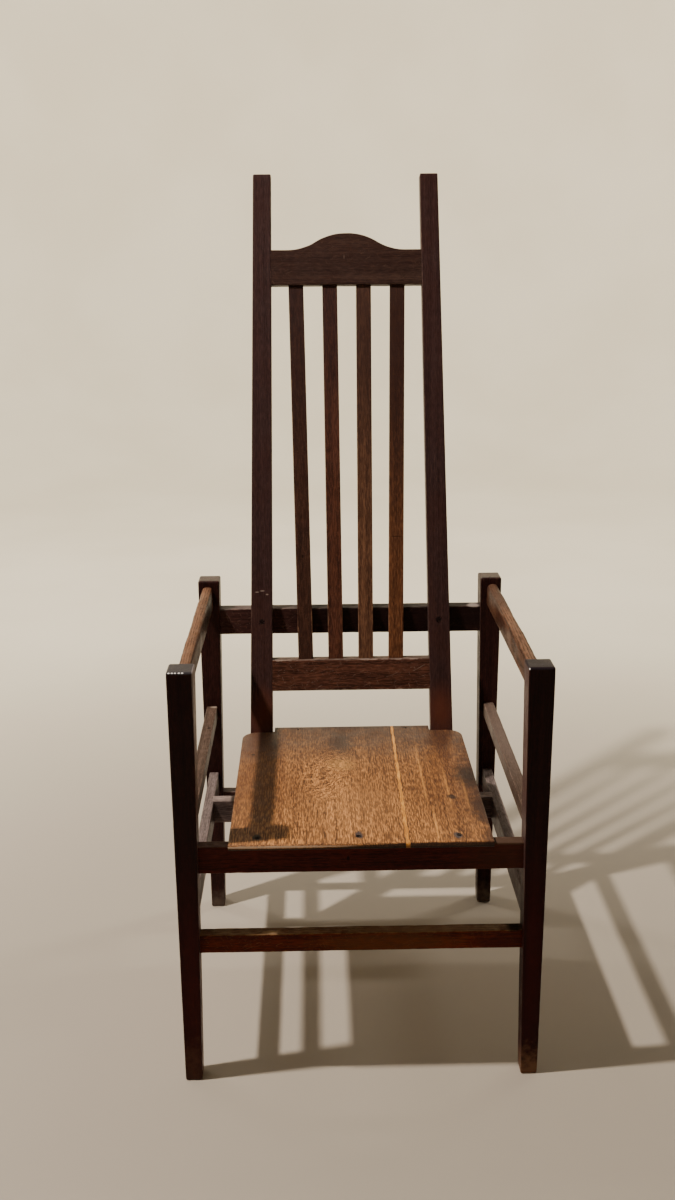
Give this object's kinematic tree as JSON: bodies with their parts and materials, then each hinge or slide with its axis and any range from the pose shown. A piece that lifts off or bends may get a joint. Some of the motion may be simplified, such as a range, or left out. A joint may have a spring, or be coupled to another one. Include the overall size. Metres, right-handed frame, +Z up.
{
  "type": "arts and crafts armchair",
  "caption": "Tall armchair with square tapered legs, straight rails, a leaning slatted back with an arched crest, and a plain board seat.",
  "frame": {"origin": "on the floor, under the middle of the chair's bounding box", "axes": "+Z up, +Y towards the back, +X to the right as seen from the front"},
  "size_m": [0.574, 0.7348, 1.432],
  "materials": {
    "frame_oak": "dark stained oak, satin, worn at the arrises",
    "worn_oak": "dark stained oak, rubbed paler on top",
    "slat_oak": "reddish brown oak, satin",
    "seat_oak": "golden brown oak, open grain, low sheen",
    "pale_slip": "pale wood slip, low sheen",
    "screw_steel": "dark tarnished steel",
    "nail_steel": "dull bright steel"
  },
  "bodies": {
    "root": {"front_leg_left": "frame_oak", "front_leg_right": "frame_oak", "rear_leg_left": "frame_oak", "rear_leg_right": "frame_oak", "arm_rail_left": "worn_oak", "arm_rail_right": "worn_oak", "seat_side_rail_left": "worn_oak", "seat_side_rail_right": "worn_oak", "side_stretcher_left": "frame_oak", "side_stretcher_right": "frame_oak", "front_seat_rail": "frame_oak", "front_stretcher": "frame_oak", "upper_rear_rail": "frame_oak", "rear_stretcher": "frame_oak", "cross_rail": "frame_oak", "stile_left": "frame_oak", "stile_right": "frame_oak", "crest_rail": "frame_oak", "lower_back_rail": "slat_oak", "slat_1": "slat_oak", "slat_2": "slat_oak", "slat_3": "slat_oak", "slat_4": "slat_oak", "seat_support_rail": "frame_oak", "seat_board_left": "seat_oak", "seat_board_right": "seat_oak", "seat_slip": "pale_slip", "seat_screws": "screw_steel", "seat_nails": "nail_steel", "stile_screws": "screw_steel", "stile_foot_screws": "screw_steel"}
  },
  "joints": []
}
